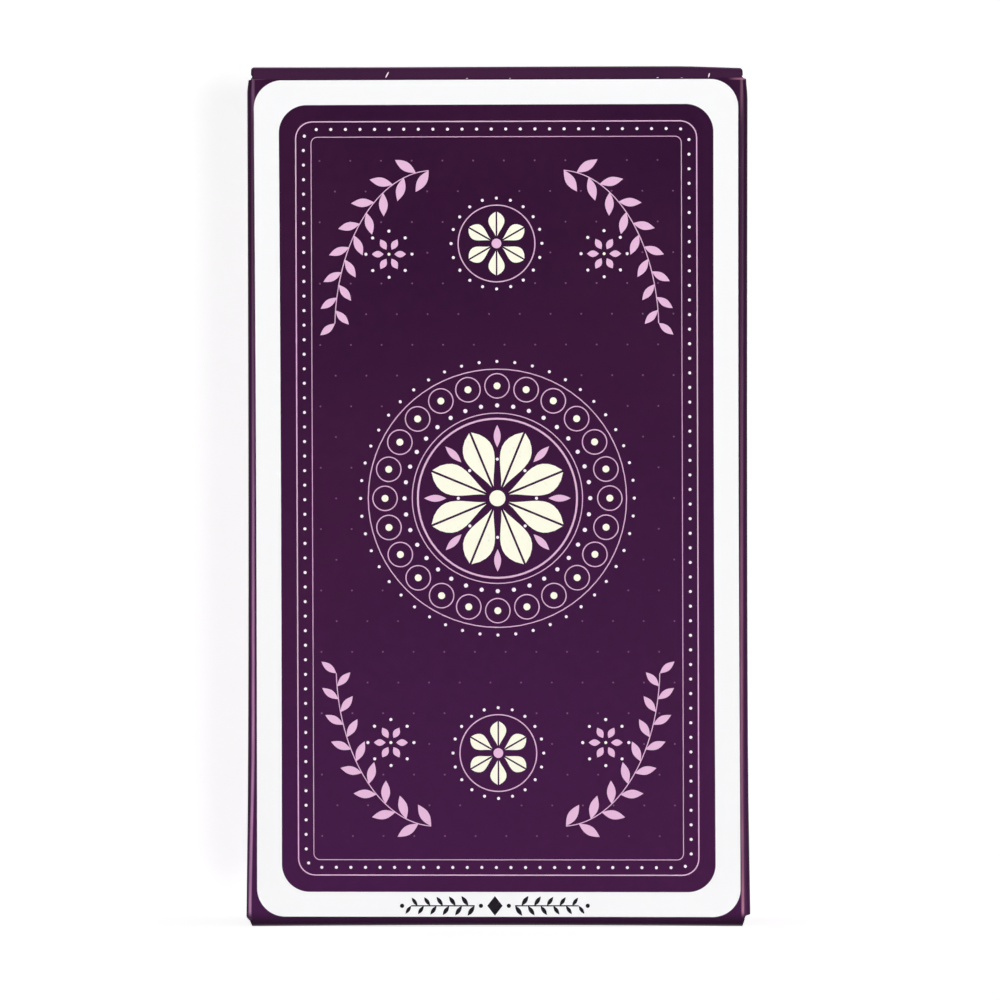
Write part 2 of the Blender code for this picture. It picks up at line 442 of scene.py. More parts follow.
def chipped(graph, x, z):
    """1 on the chips along the lid's front fold."""
    total = 0.0
    for across, up, length, width, lean in CHIPS:
        along_x = (x - across) * math.cos(lean) + (z - up) * math.sin(lean)
        along_z = (z - up) * math.cos(lean) - (x - across) * math.sin(lean)
        reach = (along_x / length) ** 2 + (along_z / width) ** 2
        total = total + graph.fall(reach, 0.6, 1.2)
    return total.at_most(1.0)


def by_side(right, pair):
    """The pair's first number on the left of the box, its second on the right."""
    return right * (pair[1] - pair[0]) + pair[0]


def fold_wear_and_highlight(graph, place, x, y, z):
    """Ink rubbed thin along the upright folds, with a painted highlight where the rounded fold catches
    light, most near the foot, in fine upright streaks.
    """
    right = x > 0.0
    low = graph.fall(z, *WEAR_HIGHLIGHT_SHIFT_HEIGHTS)
    middle = by_side(right, WEAR_HIGHLIGHT_PLACE) + low * by_side(right, WEAR_HIGHLIGHT_FOOT_PLACE) + PANEL
    band = graph.fall(abs(abs(x) - middle), *WEAR_HIGHLIGHT_HALF_WIDTH)
    foot = graph.fall(z, *WEAR_HIGHLIGHT_FOOT_HEIGHTS) * by_side(right, WEAR_HIGHLIGHT_FOOT)
    corner = right * graph.fall(z, *WEAR_HIGHLIGHT_CORNER_HEIGHTS) * WEAR_HIGHLIGHT_CORNER
    head = graph.rise(z, *WEAR_HIGHLIGHT_HEAD_HEIGHTS) * WEAR_HIGHLIGHT_HEAD
    streaks = graph.rise(graph.noise(place, 1.1, 4.0, WEAR_HIGHLIGHT_STREAK), 0.25, 0.75)
    strength = (WEAR_HIGHLIGHT_LEAST + foot + corner + head) * (0.7 + streaks * 0.4)
    above_foot = graph.rise(z, *WEAR_HIGHLIGHT_START_HEIGHTS)
    return (band * above_foot * (abs(y) > SIDE_PANEL + 0.2) * strength).at_most(1.0)


def varied(pair, noise):
    """A number that varies with noise: the pair's first, and up to its second more."""
    return pair[0] + noise * pair[1]


def purple_print(graph, place, z):
    """The printed purple: darker towards the top, with slow shifts of hue and a fine mottle."""
    purple = graph.mix(graph.rise(z, 0.0, TOP), PURPLE_LOW, PURPLE_HIGH)
    drift = graph.rise(graph.noise(place, 34.0, 1.0), 0.42, 0.75) * HUE_DRIFT
    purple = graph.mix(drift, purple, PURPLE_WARM)
    mottle = graph.noise(place, 1.6, 4.0)
    grain = graph.noise(place, 0.16, 2.0)
    shade = 0.8 + mottle * 0.28 + grain * 0.12
    return graph.scaled(purple, graph.vector(shade, shade, shade))


def print_finish(graph, place, colour, rough):
    """Printed board in a colour: the paper's tooth shows through the ink."""
    tooth = graph.noise(place, 0.22, 3.0) * 0.7 + graph.noise(place, 3.5, 2.0) * 0.3
    return colour, rough, graph.bump(tooth, PRINT_TOOTH)


def white_border(graph, x, y, z):
    """1 on the white border, which lies a little askew on its panel."""
    waist = (z * (math.pi / TOP)).sine() * (PRINT_WAIST / BORDER_HALF[0])
    lean = x * ((PRINT_LEAN[1] - PRINT_LEAN[0]) / (2 * SIDE)) + sum(PRINT_LEAN) / 2
    tilt = z * ((PRINT_TILT[1] - PRINT_TILT[0]) / TOP) + PRINT_TILT[0]
    across = (x - PRINT_SHIFT + (z - PRINT_MIDDLE) * lean) * (1 + waist)
    up = (z - PRINT_MIDDLE) - x * tilt
    border = graph.rounded_panel(across, up, BORDER_HALF, BORDER_RADIUS)
    field = graph.rounded_panel(across, up, FIELD_HALF, FIELD_RADIUS)
    return (abs(y) > PANEL_START) * border * (1 - field)


def paint_printed_board(graph):
    """The carton's outside: purple around a white border, rubbed and chipped along its folds, with a
    painted highlight along the upright folds and painted shade on their flanks and along the bottom fold.
    """
    place = graph.sheet_place()
    x, y, z = graph.parts(place)
    white = white_border(graph, x, y, z)
    # Painted shade on the outer flanks of the upright folds, where they turn away from the light
    flank = graph.rise(abs(y), SIDE_PANEL - 0.9, SIDE_PANEL - 0.2) * (abs(x) > PANEL)
    flank = flank * graph.fall(abs(y), SIDE_PANEL + 0.35, SIDE_PANEL + 0.7)
    colour = graph.mix(flank * FLANK_SHADE, purple_print(graph, place, z), PAINTED_SHADE_PURPLE)
    # Painted highlight and wear along the upright folds: pale purple on the left, rose on the right
    worn_and_lit = graph.mix(x > 0.0, WORN_AND_LIT_PURPLE, WORN_AND_LIT_ROSE)
    colour = graph.mix(fold_wear_and_highlight(graph, place, x, y, z), colour, worn_and_lit)
    colour = graph.mix(white, colour, BORDER_WHITE)
    on_strip = (1 - (abs(y) > PANEL_START)) * (y < LID_SPLIT) * (z > FRONT_TOP - 0.2)
    colour = graph.mix(on_strip * STRIP_RUB, colour, WORN_AND_LIT_PURPLE)
    # Painted shade along the bottom fold, which faces down towards the floor
    foot = graph.fall(z, *FOOT_SHADE_HEIGHTS) * (1 - white)
    colour = graph.mix(foot * FOOT_SHADE, colour, PAINTED_SHADE_PURPLE)
    ends = graph.rise(abs(x), PANEL - 2.2, PANEL - 0.3) * (y < -PANEL_START) * (1 - white)
    upper_edge = ends * graph.rise(z, FRONT_TOP - 0.22, FRONT_TOP - 0.08)
    colour = graph.mix(upper_edge * EDGE_RUB, colour, WORN_AND_LIT_ROSE)
    chips = on_strip * chipped(graph, x, z)
    colour = graph.mix(chips, colour, PAPER_CORE)
    rough = varied(PRINT_ROUGH, graph.noise(place, 2.4, 3.0)) + chips * CHIP_ROUGH
    return print_finish(graph, place, colour, rough)


def paint_flap_board(graph):
    """The dust flaps' outside: the side panels' purple, rubbed along the crease."""
    place = graph.sheet_place()
    x, _, z = graph.parts(place)
    crease = graph.rise(abs(x), SIDE - 1.2, SIDE - 0.7) * graph.noise(place, 0.6, 4.0)
    colour = graph.mix(crease * CREASE_RUB, purple_print(graph, place, z), WORN_AND_LIT_PURPLE)
    rough = varied(FLAP_ROUGH, graph.noise(place, 2.4, 3.0))
    return print_finish(graph, place, colour, rough)


def paint_bare_board(graph):
    """The unprinted inside: greyish pulp with short fibres and darker flecks."""
    place = graph.sheet_place()
    fibres = graph.noise(place, 0.5, 5.0, (0.35, 0.35, 1.6))
    flecks = graph.rise(graph.noise(place, 0.7, 3.0), 0.62, 0.76) * 0.5
    colour = graph.mix(fibres * 0.35 + flecks, BOARD_GREY, BOARD_FLECK)
    tooth = fibres * 0.6 + graph.noise(place, 0.18, 2.0) * 0.4
    return colour, varied(BOARD_ROUGH, fibres), graph.bump(tooth, BOARD_TOOTH)


def paint_cut_edge(graph):
    """The die cut edge of the board, a pale core with torn fibres, inked over at the shoulders."""
    place = graph.sheet_place()
    x, _, z = graph.parts(place)
    fibres = graph.noise(place, 0.12, 4.0)
    colour = graph.mix(graph.rise(fibres, 0.35, 0.7), EDGE_WHITE, EDGE_GREY)
    shoulder = graph.rise(z, SIDE_TOP - 1.2, SIDE_TOP - 0.4)
    left_foot = (x < 0.0) * graph.fall(z, 1.8, 2.4)
    inked = graph.rise(abs(x), PANEL - 0.6, PANEL - 0.2) * (shoulder + left_foot)
    colour = graph.mix(inked * EDGE_INK, colour, PURPLE_WARM)
    return colour, varied(EDGE_ROUGH, fibres), graph.bump(fibres, EDGE_TOOTH)


def paint_card_stock(graph):
    """A card: a purple back with a white margin, a pale face, and edges that differ card by card."""
    coordinates = graph.add("ShaderNodeTexCoord")
    place = graph.scaled(coordinates["Object"], (1 / MM,) * 3)
    x, _, z = graph.parts(place)
    facing = graph.parts(coordinates["Normal"])[1]
    field = graph.rounded_panel(x, z - CARD_MIDDLE, CARD_PRINT_HALF, CARD_PRINT_RADIUS)
    weave = ((x + z) * CARD_WEAVE).sine() * ((x - z) * CARD_WEAVE).sine()
    spots = graph.rise(weave, 0.55, 0.75) * CARD_SPOTS
    purple = graph.mix(spots, purple_print(graph, place, z), DUSK)
    by_card = graph.noise(place, 0.34, 1.0, (0.01, 1.0, 0.01))
    stock = graph.mix(by_card, STOCK_SHADE, STOCK_WHITE)
    tint = graph.mix(field * CARD_TINT, stock, PALE)
    colour = graph.mix(field * (facing < -0.5), tint, purple)
    rough = varied(CARD_ROUGH, graph.noise(place, 1.8, 3.0))
    return colour, rough, graph.bump(graph.noise(place, 0.3, 3.0), CARD_TOOTH)


def make_ink(name, colour):
    """Flat printing ink, a little thinner in places."""

    def paint(graph):
        place = graph.place()
        thin = graph.rise(graph.noise(place, 0.5, 4.0), 0.6, 0.85) * INK_THIN
        rough = varied(INK_ROUGH, graph.noise(place, 1.5, 2.0))
        return graph.mix(thin, colour, DUSK), rough

    return make_material(name, paint, PRINT_GLOSS)


printed_board = make_material("printed_board", paint_printed_board, PRINT_GLOSS)
flap_board = make_material("flap_board", paint_flap_board, PRINT_GLOSS)
bare_board = make_material("bare_board", paint_bare_board, PAPER_GLOSS)
cut_edge = make_material("cut_edge", paint_cut_edge, PAPER_GLOSS)
card_stock = make_material("card_stock", paint_card_stock, PRINT_GLOSS)
cream_ink = make_ink("cream_ink", CREAM)
pink_ink = make_ink("pink_ink", PINK)
pale_ink = make_ink("pale_ink", PALE)
dusk_ink = make_ink("dusk_ink", DUSK)
black_ink = make_ink("black_ink", BLACK)


# Meshes


def link(name, data):
    piece = bpy.data.objects.new(name, data)
    bpy.context.scene.collection.objects.link(piece)
    return piece


def as_mesh(name, build):
    mesh = bpy.data.meshes.new(name)
    build.to_mesh(mesh)
    build.free()
    return mesh


def baked_mesh(holder):
    """The plain mesh that an object's modifiers make; the object itself goes."""
    bpy.context.view_layer.update()
    evaluated = holder.evaluated_get(bpy.context.evaluated_depsgraph_get())
    mesh = bpy.data.meshes.new_from_object(evaluated)
    bpy.data.objects.remove(holder)
    return mesh


def spread(low, high, count):
    return [low + (high - low) * i / (count - 1) for i in range(count)]


def quarter_turn(steps):
    """The sine and cosine of each even step through a quarter turn, without its start."""
    turns = [QUARTER * step / steps for step in range(1, steps + 1)]
    return [(math.sin(turn), math.cos(turn)) for turn in turns]


def eased(share):
    share = min(max(share, 0.0), 1.0)
    return share * share * (3 - 2 * share)


def bent(share, start, corner, end):
    """A number on a smooth bend from start to end, drawn towards the corner between them."""
    return (1 - share) ** 2 * start + 2 * share * (1 - share) * corner + share**2 * end


def add_sheet(build, rows):
    """Adds the faces between rows of points. Along a row, then up the rows, turns outwards."""
    lines = [[build.verts.new(point) for point in row] for row in rows]
    for lower, upper in zip(lines, lines[1:]):
        for c in range(len(lower) - 1):
            build.faces.new((lower[c], lower[c + 1], upper[c + 1], upper[c]))


def board_piece(name, sheets, outside, thickness=BOARD):
    """A piece of board: sheets drawn on the outer face, joined where they meet and made thick inwards."""
    build = bmesh.new()
    for rows in sheets:
        add_sheet(build, rows)
    bmesh.ops.remove_doubles(build, verts=build.verts, dist=MERGE)
    mesh = as_mesh(name, build)
    for material in (outside, bare_board, cut_edge):
        mesh.materials.append(material)
    holder = link(name, mesh)
    wall = holder.modifiers.new("board", "SOLIDIFY")
    wall.thickness = thickness
    wall.offset = -1.0
    wall.use_even_offset = True
    wall.material_offset = 1
    wall.material_offset_rim = 2
    finished = baked_mesh(holder)
    rest = finished.attributes.new(SHEET_PLACE, "FLOAT_VECTOR", "POINT")
    rest.data.foreach_set("vector", [part for vertex in finished.vertices for part in vertex.co])
    finished.transform(Matrix.Scale(MM, 4))
    finished.shade_smooth()
    finished.set_sharp_from_angle(angle=SMOOTH_ANGLE)
    return link(name, finished)


# The carton's sheet


def bow(x, y, z):
    """How far a wall swells outwards in the middle of its panel."""
    along = math.sin(math.pi * z / TOP) ** 2
    across = math.cos(math.pi * x / (2 * SIDE)) ** 2
    deep = math.cos(math.pi * y / (2 * BACK)) ** 2
    return along * across, along * deep


def leaned(x, z):
    """Where the sides stand: wider at the foot, drawn in at mid height and under the dust flaps."""
    right = x > 0
    flare = FLARE_FOOT[right] + (FLARE_HEAD[right] - FLARE_FOOT[right]) * z / TOP
    foot_spread = FOOT_SPREAD[right] * (1 - eased(z / FOOT_SPREAD_TOP))
    reach = PINCH_REACH[right]
    pinch = PINCH[right] * eased((z - SIDE_TOP + reach) / reach) ** PINCH_EASE
    waist = WAIST * math.sin(math.pi * (z / TOP) ** WAIST_DROP)
    return x + x / SIDE * (flare + foot_spread - pinch - waist)


def front_top(x):
    return FRONT_TOP + x * FRONT_TOP_TILT


def left_top(y):
    """The left panel's cut edge, which drops in front of its dust flap."""
    return SIDE_TOP - LEFT_SHOULDER_DROP * (1 - eased((y + SIDE_PANEL) / DUST_RELIEF))


def wall_point(x, y, normal, z):
    front_bow, side_bow = bow(x, y, z)
    out_x = leaned(x, z) + normal[0] ** 3 * SIDE_BOW * side_bow
    out_y = y + normal[1] ** 3 * FRONT_BOW * front_bow
    return Vector((out_x, out_y, z))


def side_places(seam=False):
    """Where columns stand on a side panel from front to back, short of its end at the seam."""
    places = spread(-SIDE_PANEL, SIDE_PANEL, SIDE_COLUMNS)
    return [*places[:-1], SIDE_PANEL - SEAM_GAP] if seam else places


def wall_columns():
    """Every column round the sleeve, from the seam in the left side to the seam again.

    Each is (x, y, way out, foot, top)."""
    left, right = Vector((-1, 0)), Vector((1, 0))
    ahead, behind = Vector((0, -1)), Vector((0, 1))
    across = spread(-PANEL, PANEL, PANEL_COLUMNS)
    columns = []

    def add_corner(x, y, start, foot, top, notch=1.0):
        """The upright fold at a corner, from one panel's foot and top to the next one's."""
        centre = Vector((x * PANEL, y * SIDE_PANEL))
        for step in range(1, ARC_STEPS):
            share = step / ARC_STEPS
            turn = start + QUARTER * step / ARC_STEPS
            way = Vector((math.cos(turn), math.sin(turn)))
            column_foot = foot[0] + (foot[1] - foot[0]) * share**notch
            column_top = top[0] + (top[1] - top[0]) * share
            columns.append((*(centre + FOLD * way), way, column_foot, column_top))

    columns += [(-SIDE, y, left, SIDE_FOOT_LEFT, left_top(y)) for y in reversed(side_places(seam=True))]
    left_tops = (left_top(-SIDE_PANEL), front_top(-PANEL))
    add_corner(-1, -1, 2 * QUARTER, (CORNER_FOOT_LEFT, FRONT_FOOT), left_tops)
    columns += [(x, FRONT, ahead, FRONT_FOOT, front_top(x)) for x in across]
    right_tops = (front_top(PANEL), SIDE_TOP)
    add_corner(1, -1, 3 * QUARTER, (FRONT_FOOT, SIDE_FOOT_RIGHT), right_tops, CORNER_NOTCH)
    columns += [(SIDE, y, right, SIDE_FOOT_RIGHT, SIDE_TOP) for y in side_places()]
    add_corner(1, 1, 0.0, (SIDE_FOOT_RIGHT, BACK_FOOT), (SIDE_TOP, SIDE_TOP))
    columns += [(x, BACK, behind, BACK_FOOT, BACK_TOP) for x in reversed(across)]
    add_corner(-1, 1, QUARTER, (BACK_FOOT, SIDE_FOOT_LEFT), (SIDE_TOP, SIDE_TOP))
    columns.append((-SIDE, SIDE_PANEL, left, SIDE_FOOT_LEFT, SIDE_TOP))
    return columns


def wall_rows():
    columns = wall_columns()
    rows = [[wall_point(x, y, way, foot) for x, y, way, foot, _ in columns]]
    for level in WALL_LEVELS:
        rows.append([wall_point(x, y, way, level) for x, y, way, _, _ in columns])
    rows.append([wall_point(x, y, way, top) for x, y, way, _, top in columns])
    return rows


def bottom_rows():
    """The outer bottom panel, from its back edge forward and up round the front fold."""
    left_end, right_end = STRIP_ENDS
    across = [leaned(x, FOLD) for x in spread(-PANEL, PANEL, PANEL_COLUMNS)]
    across = [min(max(x, left_end + STRIP_INSET), right_end - STRIP_INSET) for x in across]
    profile = [(y, 0.0) for y in spread(bottom_back, FRONT + FOLD, BOTTOM_ROWS)]
    for sine, cosine in quarter_turn(ARC_STEPS):
        profile.append((FRONT + FOLD - FOLD * sine, FOLD - FOLD * cosine))

    def point(x, y, z):
        trim = 1 - z / FOLD
        bevel = STRIP_BEVEL[x > 0] * trim / PANEL
        sag = BOTTOM_ARCH * min(x / PANEL, 1.0) ** 2 * trim
        return Vector((x - x * bevel, y, z - sag))

    return [[point(x, y, z) for x in [left_end, *across, right_end]] for y, z in profile]


def bottom_flap_rows(sign):
    """An inner bottom flap, from its tip out and up round the side panel's fold."""
    if sign > 0:
        deep = side_places()
        foot = SIDE_FOOT_RIGHT
        flat = spread(BOTTOM_FLAP_TIP, BOTTOM_FLAP_LIFTED[0][0], BOTTOM_FLAP_ROWS)[:-1]
        bend = [*BOTTOM_FLAP_LIFTED, (SIDE, foot)]
    else:
        deep = list(reversed(side_places(seam=True)))
        foot = SIDE_FOOT_LEFT
        flat = spread(BOTTOM_FLAP_TIP, PANEL, BOTTOM_FLAP_ROWS)
        bend = []
        for sine, cosine in quarter_turn(ARC_STEPS):
            rise = (foot - BOTTOM_FLAP_LOW) * (1 - cosine)
            bend.append((PANEL + FOLD * sine, BOTTOM_FLAP_LOW + rise))
    profile = [*((x, BOTTOM_FLAP_LOW) for x in flat), *bend]
    return [[Vector((leaned(sign * x, foot), y, z)) for y in deep] for x, z in profile]


def glue_flap_rows():
    """The flap inside the left panel that the seam is glued to, cut at a slope at both ends."""
    x = -SIDE + BOARD + GLUE_FLAP_GAP

    def point(y, share):
        trim = GLUE_FLAP_SLOPE * (SIDE_PANEL - y) / GLUE_FLAP_WIDTH
        z = GLUE_FLAP_FOOT + trim + share * (GLUE_FLAP_TOP - GLUE_FLAP_FOOT - 2 * trim)
        side_bow = SIDE_BOW * bow(0, y, z)[1]
        return Vector((x - side_bow + leaned(-SIDE, z) + SIDE, y, z))

    deep = spread(SIDE_PANEL, SIDE_PANEL - GLUE_FLAP_WIDTH, GLUE_FLAP_COLUMNS)
    return [[point(y, share) for y in deep] for share in spread(0.0, 1.0, GLUE_FLAP_ROWS)]


def end_columns():
    """Columns across the lid, from right to left, closer together at its rounded ends."""
    flat = LID_HALF - LID_END_ROUND
    ends = [flat + LID_END_ROUND * sine for sine, _ in quarter_turn(LID_END_STEPS)]
    half = spread(-flat, flat, PANEL_COLUMNS)
    return [*reversed(ends), *reversed(half), *(-x for x in ends)]


def end_droop(x):
    """How far the lid's surface rounds down at its two ends."""
    past = max(abs(x) - (LID_HALF - LID_END_ROUND), 0.0)
    return LID_END_ROUND - math.sqrt(max(LID_END_ROUND**2 - past**2, 0.0))


def lid_lift(x, z):
    """How far the closed lid springs up: more towards the right, but less at its very end.

    There is none below the lid's creases."""
    end_drop = LID_END_SLOPE * max(x - LID_END_START, 0.0)
    spring = LID_LIFT + LID_WARP * math.sin(x * LID_WARP_TURN) - end_drop
    return spring * eased((z - BACK_TOP) / (TOP - BACK_TOP))


def lid_point(x, y, z, rounding, narrowing=1.0):
    """A point of the lid or its tuck flap, sprung up, with that share of its ends' rounding."""
    return Vector((x * narrowing + LID_SHIFT, y, z + lid_lift(x, z) - rounding * end_droop(x)))


def lid_rows():
    """The lid, from the back panel's top up over the crease and forward."""
    profile = [(BACK, z) for z in spread(BACK_TOP, TOP - FOLD, LID_BACK_ROWS)]
    for sine, cosine in quarter_turn(ARC_STEPS):
        profile.append((BACK - FOLD + FOLD * cosine, TOP - FOLD + FOLD * sine))
    profile += [(y, TOP) for y in spread(BACK - FOLD, LID_SPLIT, LID_ROWS)[1:]]
    rows = []
    for y, z in profile:
        rounding = eased((z - TOP + FOLD) / FOLD)
        rows.append([lid_point(x, y, z, rounding) for x in end_columns()])
    return rows


def tuck_rows():
    """The tuck flap, from the lid's front over the nose and down behind the front panel."""
    nose = LID_NOSE_RADIUS
    front, low = tuck_low.y, tuck_low.z
    start = TOP - nose
    profile = [(LID_SPLIT, TOP), (front + nose, TOP)]
    for sine, cosine in quarter_turn(ARC_STEPS):
        profile.append((front + nose - nose * sine, TOP - nose + nose * cosine))
    narrow = tuck_high.x / LID_HALF

    def flap_point(x, share):
        in_from_end = (LID_HALF - abs(x)) * narrow
        past = max(TUCK_CORNER - in_from_end, 0.0)
        tip = low + TUCK_CORNER - math.sqrt(TUCK_CORNER**2 - past**2)
        z = start + share * (tip - start)
        rounding = eased((z - start + nose) / nose)
        taper = eased((start - z) / TUCK_TAPER)
        return lid_point(x, front, z, rounding, 1 + (narrow - 1) * taper)

    columns = end_columns()
    nose_rows = [[lid_point(x, y, z, 1.0) for x in columns] for y, z in profile]
    shares = spread(0.0, 1.0, TUCK_ROWS)[1:]
    return nose_rows + [[flap_point(x, share) for x in columns] for share in shares]


def dust_rows(sign):
    """A dust flap, from the side panel's top over the fold and inwards to its trimmed tip.

    Its front corner is cut away at the crease, to let the tuck flap in."""
    front, back = dust_low.y, SIDE_PANEL
    tip_x, flap_z = dust_low.x, dust_high.z
    tip_width = DUST_TIP_SHARE * (dust_high.y - dust_low.y)
    fold_end = PANEL - DUST_FOLD_REACH + FOLD
    columns = spread(front, back, SIDE_COLUMNS)
    if sign < 0:
        columns.reverse()

    def relieved(y, run):
        """Where a column lies, run in from the crease."""
        return y + DUST_RELIEF * max(1 - run / DUST_RELIEF_RUN, 0.0) * (back - y) / (back - front)

    def fold_point(y, share):
        root_x = wall_point(sign * SIDE, y, Vector((sign, 0)), SIDE_TOP).x
        x = bent(share, root_x, root_x - sign * DUST_FOLD_LEAN, sign * fold_end)
        return Vector((x, relieved(y, 0.0), bent(share, SIDE_TOP, flap_z, flap_z)))

    def flap_point(y, share):
        tip_y = front + (y - front) / (back - front) * tip_width
        inset = min(tip_y - front, front + tip_width - tip_y)
        past = max(DUST_CORNER - inset, 0.0)
        end = tip_x + DUST_CORNER - math.sqrt(DUST_CORNER**2 - past**2)
        x = fold_end + share * (end - fold_end)
        way = (fold_end - x) / (fold_end - tip_x)
        return Vector((sign * x, relieved(y + (tip_y - y) * way, fold_end - x), flap_z))

    fold_rows = [[fold_point(y, share) for y in columns] for share in spread(0.0, 1.0, ARC_STEPS + 2)]
    shares = spread(0.0, 1.0, DUST_ROWS)[1:]
    return fold_rows + [[flap_point(y, share) for y in columns] for share in shares]


carton_sheets = [wall_rows(), bottom_rows(), bottom_flap_rows(1), bottom_flap_rows(-1)]
carton_board = board_piece("carton_board", carton_sheets, printed_board)
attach(carton_board, "carton")
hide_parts("carton_sleeve", "bottom_panel")

glue_flap = board_piece("glue_flap", [glue_flap_rows()], bare_board, GLUE_FLAP_THICKNESS)
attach(glue_flap, "carton")

lid_board = board_piece("lid_board", [lid_rows()], printed_board)
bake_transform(lid_board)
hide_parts("lid_panel")

tuck_board = board_piece("tuck_board", [tuck_rows()], printed_board)
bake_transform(tuck_board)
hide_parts("tuck_flap")

for hand, sign in (("left", -1), ("right", 1)):
    dust_board = board_piece(f"{hand}_dust_board", [dust_rows(sign)], flap_board)
    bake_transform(dust_board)
    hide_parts(f"{hand}_dust_flap")

for name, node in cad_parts.items():
    if name.startswith("card_"):
        node.material_slots[0].material = card_stock


# Printed ornament, drawn flat in x and z around its own middle

drawing_aids = []


def aid(data):
    """An object that the ornament is drawn with, and that goes when it's done."""
    drawing_aids.append(link("drawing_aid", data))
    return drawing_aids[-1]


def motif(*outlines):
    """A thin closed plate for each outline of (x, z) points."""
    build = bmesh.new()
    for outline in outlines:
        front = [build.verts.new((x, -INK, z)) for x, z in outline]
        back = [build.verts.new((x, INK, z)) for x, z in outline]
        build.faces.new(front)
        build.faces.new(reversed(back))
        for i, corner in enumerate(front):
            build.faces.new((front[i - 1], back[i - 1], back[i], corner))
    bmesh.ops.recalc_face_normals(build, faces=build.faces)
    return aid(as_mesh("motif", build))


def circle(radius, steps=20):
    turns = [2 * math.pi * step / steps for step in range(steps)]
    return [(radius * math.cos(turn), radius * math.sin(turn)) for turn in turns]


PETAL_BREADTH = 1.5
PETAL_FULLNESS = 0.8


def petal_halves(length, width, slit, steps=12):
    """A petal along x, broad towards its tip, split by a thin unprinted vein."""
    upper = []
    for share in spread(0.0, 1.0, steps):
        half = width / 2 * math.sin(math.pi * share**PETAL_BREADTH) ** PETAL_FULLNESS
        upper.append((length * share, slit / 2 + half))
    near, far = (0.0, slit / 2), (length, slit / 2)
    outline = [near, *upper[1:-1], far]
    return [outline, [(x, -z) for x, z in reversed(outline)]]


def leaf(length, width, steps=10):
    """A leaf along x, pointed at both ends."""
    shares = spread(0.0, 1.0, steps)
    upper = [(length * s, width / 2 * math.sin(math.pi * s)) for s in shares]
    return [*upper, *((x, -z) for x, z in reversed(upper[1:-1]))]


def divided(points, closed):
    """The same outline with points close enough together to follow a bowed panel."""
    ends = points[1:] + points[:1] if closed else points[1:]
    close = []
    for (x, z), (end_x, end_z) in zip(points, ends):
        count = math.ceil(math.hypot(end_x - x, end_z - z) / PATH_STEP)
        close += [(x + (end_x - x) * i / count, z + (end_z - z) * i / count) for i in range(count)]
    return close if closed else close + points[-1:]


def path(points, closed=False):
    points = divided(points, closed)
    curve = bpy.data.curves.new("path", "CURVE")
    curve.dimensions = "3D"
    spline = curve.splines.new("POLY")
    spline.points.add(len(points) - 1)
    for point, (x, z) in zip(spline.points, points):
        point.co = (x, 0.0, z, 1.0)
    spline.use_cyclic_u = closed
    return aid(curve)


def rounded_frame(half_x, half_z, radius, steps=8):
    """A closed path along a rounded rectangle, anticlockwise."""
    points = []
    for corner, (sign_x, sign_z) in enumerate(((1, 1), (-1, 1), (-1, -1), (1, -1))):
        for step in range(steps + 1):
            turn = QUARTER * (corner + step / steps)
            x = sign_x * (half_x - radius) + radius * math.cos(turn)
            points.append((x, sign_z * (half_z - radius) + radius * math.sin(turn)))
    return path(points, closed=True)


def new_tree(name, **labels):
    """A Geometry Nodes tree with an ink and other named inputs, listed by their kind.

    Returns its graph and the inputs' values."""
    tree = bpy.data.node_groups.new(name, "GeometryNodeTree")
    labels["Material"] = ["Ink"]
    for kind in labels:
        for label in labels[kind]:
            tree.interface.new_socket(label, in_out="INPUT", socket_type=f"NodeSocket{kind}")
    tree.interface.new_socket("Geometry", in_out="OUTPUT", socket_type="NodeSocketGeometry")
    graph = Graph(tree)
    return graph, graph.add("NodeGroupInput")


def end_tree(graph, geometry, ink):
    """Ends a tree: real faces, in their ink."""
    real = graph.add("GeometryNodeRealizeInstances", {"Geometry": geometry})["Geometry"]
    inked = graph.add("GeometryNodeSetMaterial", {"Geometry": real, "Material": ink})["Geometry"]
    output = graph.tree.nodes.new("NodeGroupOutput")
    graph.feed(output, {"Geometry": inked})
    return graph.tree


def ring_tree():
    """Motifs set around a ring, each pointing outwards."""
    graph, given = new_tree("ring_of_motifs", Object=["Motif"], Int=["Count"], Float=["Radius", "Turn"])
    count, radius = given["Count"], given["Radius"]
    angle = graph.index() * (2 * math.pi) / count + given["Turn"]
    place = graph.vector(radius * angle.cosine(), 0.0, radius * angle.sine())
    points = graph.add("GeometryNodePoints", {"Count": count, "Position": place})["Points"]
    motifs = graph.copies(points, given["Motif"], Rotation=graph.vector(0.0, -angle, 0.0))
    return end_tree(graph, motifs, given["Ink"])


def row_tree():
    """Motifs set along a path, leaning to either side in turn and shrinking towards its end."""
    sizes = ["Pitch", "Lean", "Shrink"]
    graph, given = new_tree("row_of_motifs", Object=["Motif", "Path"], Float=sizes)
    inputs = {"Curve": graph.shape_of(given["Path"]), "Length": given["Pitch"]}
    points = graph.add("GeometryNodeResampleCurve", inputs, mode="LENGTH")["Curve"]
    way_x, _, way_z = graph.parts(graph.add("GeometryNodeInputTangent")["Tangent"])
    side = graph.index().modulo(2.0) * 2 - 1
    angle = way_z.turn_from(way_x) + side * given["Lean"]
    size = 1 - graph.add("GeometryNodeSplineParameter")["Factor"] * given["Shrink"]
    ways = {"Rotation": graph.vector(0.0, -angle, 0.0), "Scale": graph.vector(size, 1.0, size)}
    return end_tree(graph, graph.copies(points, given["Motif"], **ways), given["Ink"])


